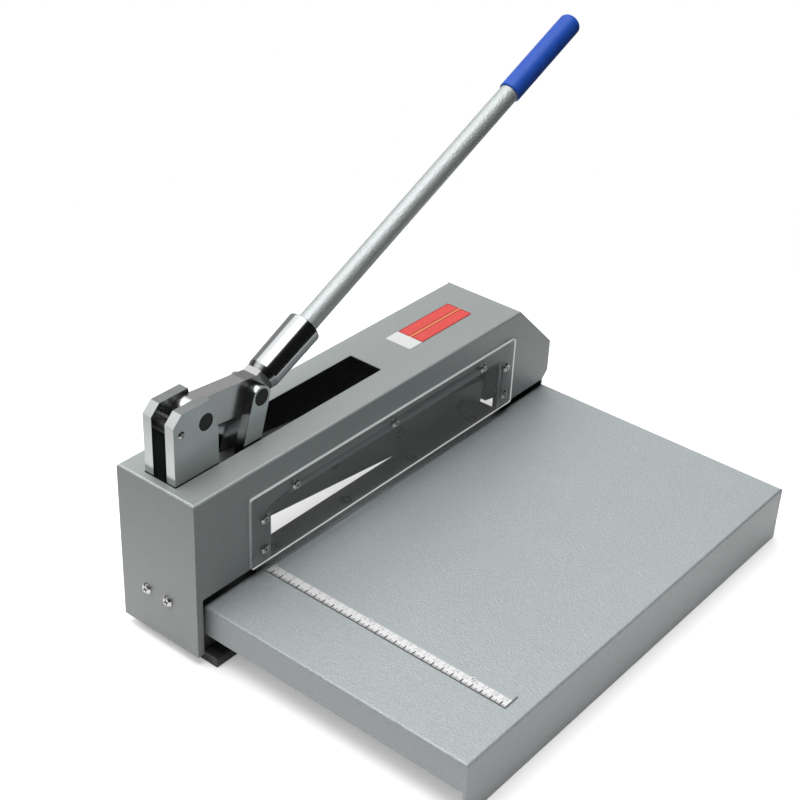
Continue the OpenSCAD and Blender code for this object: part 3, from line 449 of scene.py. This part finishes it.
# the inner rim near the front glows: painted light
PAINTED_EDGE_GLOW = 0.6
EDGE_GLOW_DEPTH = 0.0016
acrylic = Finish("acrylic")
facing = abs(acrylic.parts(acrylic.geometry("Normal"))[1])
from_inside = acrylic.geometry("Backfacing")
rim = 1 - acrylic.step(facing, *EDGE_TURN)
near_front = acrylic.parts(acrylic.place())[1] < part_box("guard")[0][1] + EDGE_GLOW_DEPTH
inner = rim * from_inside * near_front
edge = rim * (1 - from_inside) + inner * INNER_SHARE
scratches = acrylic.noise(1.0, rough=0.6, stretch=(35.0, 40.0, 420.0))
scratched = acrylic.step(scratches, 0.58, 0.85)
# edges painted near-white as a painted highlight; the inner rim glows as painted light
acrylic.set(Base_Color=acrylic.blend(edge, grey(SMOKE), EDGE_HIGHLIGHT_COLOUR), Roughness=0.06 + scratched * 0.10,
            Alpha=FACE_HAZE + scratched * 0.03 + edge * (EDGE_HAZE - FACE_HAZE),
            Emission_Color=acrylic.blend(inner * PAINTED_EDGE_GLOW, grey(0.0), grey(1.0)),
            Emission_Strength=1.0, IOR=1.49)
print("acrylic ready")

# %% [markdown]
# ## Dress the solids
# Each CAD node keeps its shape and gets its finish. Sharp solids never catch light as real edges
# do, so the machined pieces also get a fine bevel, a fraction of a millimetre wide. Rounding every
# edge in CAD would do the same at the cost of heavy solids.

# %% Finishes on the nodes
FINISH_OF = {
    cover_paint: ["cover"],
    hammer_grey: ["table"],
    silver_paint: ["handle_tube"],
    nickel_plate: ["front_ear", "rear_ear", "front_link", "rear_link"],
    lever_plate: ["lever_bar"],
    machined_steel: ["bed", "ear_block", "table_brackets"],
    beam_steel: ["blade_beam"],
    near_black_steel: ["front_cheek", "rear_cheek", "cheek_block"],
    blade_steel: ["upper_blade"],
    lit_and_shaded_blade.block: ["lower_blade"],
    rule_face.block: ["rule"],
    zinc_plate: ["cover_screws", "guard_screws", "guard_nuts", "ear_screws"],
    soft_metal.block: ["rule_rivets"],
    bronze: ["lever_bush", "beam_bush"],
    chrome.block: ["socket"],
    black_oxide.block: ["ear_stay", "lower_blade_screws", "plate_bolts", "tie_bolts", "base_screws",
                        "lever_pivot_pin", "blade_pivot_pin", "link_pin", "lower_link_pin",
                        "upper_blade_screws", "table_bolts"],
    black_enamel.block: ["base_plate"],
    vinyl.block: ["grip"],
    acrylic.block: ["guard"],
}
for finish, names in FINISH_OF.items():
    for name in names:
        slots = nodes[name].data.materials
        slots.clear()
        slots.append(finish)
left_plain = set(nodes) - {name for names in FINISH_OF.values() for name in names}
print("nodes without a finish:", sorted(left_plain))

# %% Fine bevels
SHARP = math.radians(35)
BROKEN_EDGE = {
    0.0007: ["front_ear", "rear_ear", "front_link", "rear_link", "lever_bar"],
    0.0004: ["guard", "bed", "base_plate", "blade_beam", "front_cheek", "rear_cheek"],
}
for width, names in BROKEN_EDGE.items():
    for name in names:
        bevel = nodes[name].modifiers.new("broken_edge", "BEVEL")
        bevel.width = width
        bevel.segments = 2
        bevel.limit_method = "ANGLE"
        bevel.angle_limit = SHARP
        bevel.harden_normals = True
print("bevels:", sum(map(len, BROKEN_EDGE.values())))

# %% [markdown]
# ## The rule's marks
# The steel rule is printed in black: a line at every centimetre with its number, a middle line at
# five millimetres, and short lines between. An image texture would blur close up, so the ink is
# thin flat geometry laid a few hundredths of a millimetre above the steel.


# %% Inks
def worn_ink(name, scale, dark, light):
    """Matt ink, rubbed paler in small specks."""
    ink = Finish(name)
    wear = ink.noise(scale)
    ink.set(Base_Color=ink.blend(wear, grey(dark), grey(light)), Roughness=0.5 + wear * 0.2)
    return ink.block


line_ink = worn_ink("rule_ink", scale=900.0, dark=0.03, light=0.10)
number_ink = worn_ink("number_ink", scale=1100.0, dark=0.36, light=0.56)
print("inks:", line_ink.name, number_ink.name)


# %% Lines on the rule
def put(name, shape, finish):
    """Turns a bmesh into an object with a finish."""
    mesh = bpy.data.meshes.new(name)
    shape.to_mesh(mesh)
    shape.free()
    mesh.materials.append(finish)
    made = bpy.data.objects.new(name, mesh)
    bpy.context.collection.objects.link(made)
    return made


MM = 0.001
INK_LIFT = 0.00004
INK_INSET = 0.0004
LINE_W = {10: 0.0012, 5: 0.0006, 1: 0.00035}
MARK_L = {10: 0.0052, 5: 0.0038, 1: 0.0026}
BACK_GAP_MM = 3
FRONT_GAP_MM = 2
shear_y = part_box("lower_blade")[1][1]
first_mm = math.ceil((shear_y - rule_high[1]) / MM) + BACK_GAP_MM
last_mm = math.floor((shear_y - rule_low[1]) / MM) - FRONT_GAP_MM
ink_z = rule_high[2] + INK_LIFT

marks = bmesh.new()
for mm in range(first_mm, last_mm + 1):
    kind = 10 if mm % 10 == 0 else 5 if mm % 5 == 0 else 1
    left, right = rule_low[0] + INK_INSET, rule_low[0] + MARK_L[kind]
    y = shear_y - mm * MM
    half = LINE_W[kind] / 2
    corners = [(left, y - half), (right, y - half), (right, y + half), (left, y + half)]
    marks.faces.new([marks.verts.new((x, v, ink_z)) for x, v in corners])
rule_marks = put("rule_marks", marks, line_ink)
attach(rule_marks, "frame")
print("rule marks from", first_mm, "to", last_mm, "mm")

# %% Numbers on the rule
DIGIT_H = 0.0046
FONT_PER_DIGIT = 1.42
NUMBER_INSET = 0.0060
DIGIT_MIDDLE = 0.55
number_x = rule_low[0] + NUMBER_INSET + DIGIT_H * DIGIT_MIDDLE
quarter_turn = Matrix.Rotation(math.radians(-90), 4, "Z")


def flat_text(name, words, height):
    """A word as flat faces in the XY plane, centred on its own middle."""
    letters = bpy.data.curves.new(name, "FONT")
    letters.body = words
    letters.size = height * FONT_PER_DIGIT
    letters.align_x = "CENTER"
    letters.align_y = "CENTER"
    letters.resolution_u = 3
    holder = bpy.data.objects.new(name, letters)
    bpy.context.collection.objects.link(holder)
    mesh = bpy.data.meshes.new_from_object(holder.evaluated_get(bpy.context.evaluated_depsgraph_get()))
    bpy.data.objects.remove(holder)
    bpy.data.curves.remove(letters)
    return mesh


numbers = bmesh.new()
for centimetre in range(math.ceil(first_mm / 10), last_mm // 10 + 1):
    digits = flat_text("digits", str(centimetre), DIGIT_H)
    digits.transform(Matrix.Translation((number_x, shear_y - centimetre * 10 * MM, ink_z)) @ quarter_turn)
    numbers.from_mesh(digits)
    bpy.data.meshes.remove(digits)
rule_numbers = put("rule_numbers", numbers, number_ink)
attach(rule_numbers, "frame")
print("numbers:", len(rule_numbers.data.polygons), "faces")

# %% [markdown]
# ## The plate on the cover
# A small plate is stuck on the cover's top, right of the slot: a white field, a red field with a
# darker rim, and an orange line along its middle. It could be three plates side by side. One thin
# plate with rounded corners is simpler, and its colours come from the place on its surface.

# %% Colours of the plate
PLATE_X = (0.0640, 0.1610)
PLATE_Y = (0.0005, 0.0310)
WHITE_FIELD = 0.0185
LINE_HALF = 0.0012
FIELD_RIM = 0.0014
RIM_SHARE = 0.9
RED = ((0.72, 0.045, 0.04, 1.0), (0.84, 0.075, 0.06, 1.0))
DARK_RED = (0.36, 0.012, 0.014, 1.0)
ORANGE = (0.86, 0.24, 0.08, 1.0)
red_from = PLATE_X[0] + WHITE_FIELD
label = Finish("plate_print")
plate_x, plate_y, _ = label.parts(label.place())
from_middle = abs(plate_y - (PLATE_Y[0] + PLATE_Y[1]) / 2)
fade = label.noise(150.0, detail=3.0)
field_rim = label.limit((from_middle < LINE_HALF + FIELD_RIM)
                        + (from_middle > (PLATE_Y[1] - PLATE_Y[0]) / 2 - FIELD_RIM)
                        + (plate_x < red_from + FIELD_RIM) + (plate_x > PLATE_X[1] - FIELD_RIM))
red = label.blend(field_rim * RIM_SHARE, label.blend(fade, *RED), DARK_RED)
red_with_line = label.blend(from_middle < LINE_HALF, red, ORANGE)
label.set(Base_Color=label.blend(plate_x < red_from, red_with_line, grey(0.78)),
          Roughness=0.28 + fade * 0.12, Coat_Weight=0.3)
print("red from x", round(red_from, 4))

# %% Bare plate
PLATE_T = 0.0003
PLATE_CORNER = 0.0016
PLATE_LIFT = 0.00002
CORNER_STEPS = 6
cover_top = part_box("cover")[1][2]


def round_rectangle(low, high, radius):
    """Corner points of a rectangle with round corners, anticlockwise."""
    points = []
    for sx, sy, start in ((1, 1, 0), (-1, 1, 90), (-1, -1, 180), (1, -1, 270)):
        x = (high[0] if sx > 0 else low[0]) - sx * radius
        y = (high[1] if sy > 0 else low[1]) - sy * radius
        for i in range(CORNER_STEPS + 1):
            angle = math.radians(start + 90 * i / CORNER_STEPS)
            points.append((x + radius * math.cos(angle), y + radius * math.sin(angle)))
    return points


def thin_plate(outline, z, thickness):
    """A flat plate of that outline, standing on z."""
    shape = bmesh.new()
    shape.faces.new([shape.verts.new((x, y, z)) for x, y in outline])
    grown = bmesh.ops.extrude_face_region(shape, geom=shape.faces[:])
    tops = [v for v in grown["geom"] if isinstance(v, bmesh.types.BMVert)]
    bmesh.ops.translate(shape, verts=tops, vec=(0, 0, thickness))
    bmesh.ops.recalc_face_normals(shape, faces=shape.faces[:])
    return shape


plate_outline = round_rectangle((PLATE_X[0], PLATE_Y[0]), (PLATE_X[1], PLATE_Y[1]), PLATE_CORNER)
name_plate = put("bare_plate", thin_plate(plate_outline, cover_top + PLATE_LIFT, PLATE_T), label.block)
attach(name_plate, "frame")
print("plate on top at z", round(cover_top, 4))

# %% [markdown]
# ## Floor
# The picture is on white, in soft light from above. A pale floor keeps the shadow. It is white where
# the camera looks at it directly or metal mirrors it, so that only a faint shadow is left. To the part
# it is a pale bench that throws some light back on the front and the ends. It fades out with distance.

# %% Floor
FLOOR_HALF = 6.0
FLOOR_GAP = 0.0002
WARM = (1.0, 0.95, 0.94)
BOUNCE = 0.55
GLOW = 0.38
FRONT_GLOW = 0.52
FRONT_FADE = 0.12
FLOOR_LIGHT = 0.3
FADE_FROM = 0.42
FADE_TO = 0.80
front_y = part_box("table")[0][1]
floor_mesh = bpy.data.meshes.new("floor")
floor_corners = [(sx * FLOOR_HALF, sy * FLOOR_HALF, 0) for sx, sy in ((-1, -1), (1, -1), (1, 1), (-1, 1))]
floor_mesh.from_pydata(floor_corners, [], [(0, 1, 2, 3)])
floor = bpy.data.objects.new("floor", floor_mesh)
bpy.context.collection.objects.link(floor)
floor.location.z = cad_box[0][2] - FLOOR_GAP

pale = Finish("pale_floor")
away = pale.vector("LENGTH", pale.place(), EVEN, "Value")
looked_at = pale.ray("Is Camera Ray")
white = pale.limit(looked_at + pale.ray("Is Glossy Ray"))
in_front = 1 - pale.step(pale.parts(pale.place())[1], front_y - FRONT_FADE, front_y)
lit = pale.blend(GLOW + in_front * FRONT_GLOW, grey(0.0), grey(1.0, WARM))
pale.set(Base_Color=pale.blend(white, grey(BOUNCE, WARM), grey(0.97)), Roughness=0.9,
         Alpha=1 - pale.step(away, FADE_FROM, FADE_TO),
         Emission_Color=pale.blend(looked_at, lit, grey(1.0)), Emission_Strength=FLOOR_LIGHT)
floor_mesh.materials.append(pale.block)
print("floor at", round(floor.location.z, 5))

# %% [markdown]
# ## World and lamp
# Mirrors and dull faces see a room that is bright overhead, with a pale backdrop behind the part, a
# small window at the back left, and dark in front. Below the horizon it is a dim bench. A picture of
# a real room could be used, but a few soft spots of light are easier to set.
# The camera and anything clear see plain white, and so does metal that mirrors the backdrop.
# One broad lamp overhead makes the tops bright.

# %% World
DARK = 0.015
SKY = 1.95
BACKDROP = 0.45
WINDOW = 0.55
BENCH = 0.12
BENCH_FADE = (-0.45, -0.15)
TO_LIGHT = Vector((-0.08, 0.27, 0.96)).normalized()
TO_BACKDROP = Vector((0.67, 0.74, 0.10)).normalized()
TO_WINDOW = Vector((-0.52, 0.52, 0.66)).normalized()
sky = Finish("studio", bpy.data.worlds, "Background")
bpy.context.scene.world = sky.block
direction = sky.node("ShaderNodeTexCoord", None, None, "Generated")


def spot(target, low, high):
    """Rises smoothly from 0 to 1 as the direction nears a target."""
    return sky.step(sky.dot(direction, target), low, high)


above = (spot(TO_LIGHT, 0.66, 0.90) * SKY + spot(TO_BACKDROP, 0.5, 0.9) * BACKDROP
         + spot(TO_WINDOW, 0.90, 0.97) * WINDOW + DARK)
below = 1 - sky.step(sky.parts(direction)[2], *BENCH_FADE)
room = above * (1 - below) + below * BENCH
mirrored_backdrop = sky.ray("Is Glossy Ray") * spot(TO_BACKDROP, 0.95, 0.995)
plain_white = sky.limit(sky.ray("Is Camera Ray") + sky.ray("Is Transmission Ray") + mirrored_backdrop)
sky.set(Color=grey(1.0), Strength=room * (1 - plain_white) + plain_white)
print("world ready")

# %% Lamp
LAMP_PLACE = Vector((-0.30, -0.10, 2.2))
LAMP_AIM = Vector((0.0, 0.0, 0.1))
LAMP_SIZE = 1.6
LAMP_WATTS = 20
light = bpy.data.lights.new("overhead", "AREA")
light.shape = "SQUARE"
light.size = LAMP_SIZE
light.energy = LAMP_WATTS
lamp = bpy.data.objects.new("overhead", light)
bpy.context.collection.objects.link(lamp)
lamp.location = LAMP_PLACE
lamp.rotation_euler = (LAMP_AIM - LAMP_PLACE).to_track_quat("-Z", "Y").to_euler()
print("lamp of", LAMP_WATTS, "W")

# %% [markdown]
# ## Camera
# The camera was worked out by fitting a pinhole to edges of the cover, table and guard. Its
# direction is given as turns about the upright, the horizon and the line of sight. An aim point
# would be shorter to write, but it can't hold the small roll.

# %% Camera
CAMERA_PLACE = (-0.99074, -0.81930, 0.94582)
CAMERA_TURN = math.radians(51.833)
CAMERA_DOWN = math.radians(31.941)
CAMERA_ROLL = math.radians(2.651)
FOCAL_PIXELS = 1622.34
IMAGE_PIXELS = 800
SENSOR = 36.0
NEAREST = 0.05

sight = Vector((math.sin(CAMERA_TURN) * math.cos(CAMERA_DOWN),
                math.cos(CAMERA_TURN) * math.cos(CAMERA_DOWN), -math.sin(CAMERA_DOWN)))
level_right = Vector((math.cos(CAMERA_TURN), -math.sin(CAMERA_TURN), 0))
level_up = level_right.cross(sight)
right = level_right * math.cos(CAMERA_ROLL) + level_up * math.sin(CAMERA_ROLL)
up = level_up * math.cos(CAMERA_ROLL) - level_right * math.sin(CAMERA_ROLL)
eye = bpy.data.cameras.new("eye")
eye.sensor_fit = "HORIZONTAL"
eye.sensor_width = SENSOR
eye.lens = FOCAL_PIXELS * SENSOR / IMAGE_PIXELS
eye.clip_start = NEAREST
camera = bpy.data.objects.new("eye", eye)
bpy.context.collection.objects.link(camera)
turn = Matrix((right, up, -sight)).transposed().to_4x4()
camera.matrix_world = Matrix.Translation(CAMERA_PLACE) @ turn
bpy.context.scene.camera = camera
bpy.context.scene.view_settings.view_transform = "Standard"
print("lens", round(eye.lens, 2), "mm")
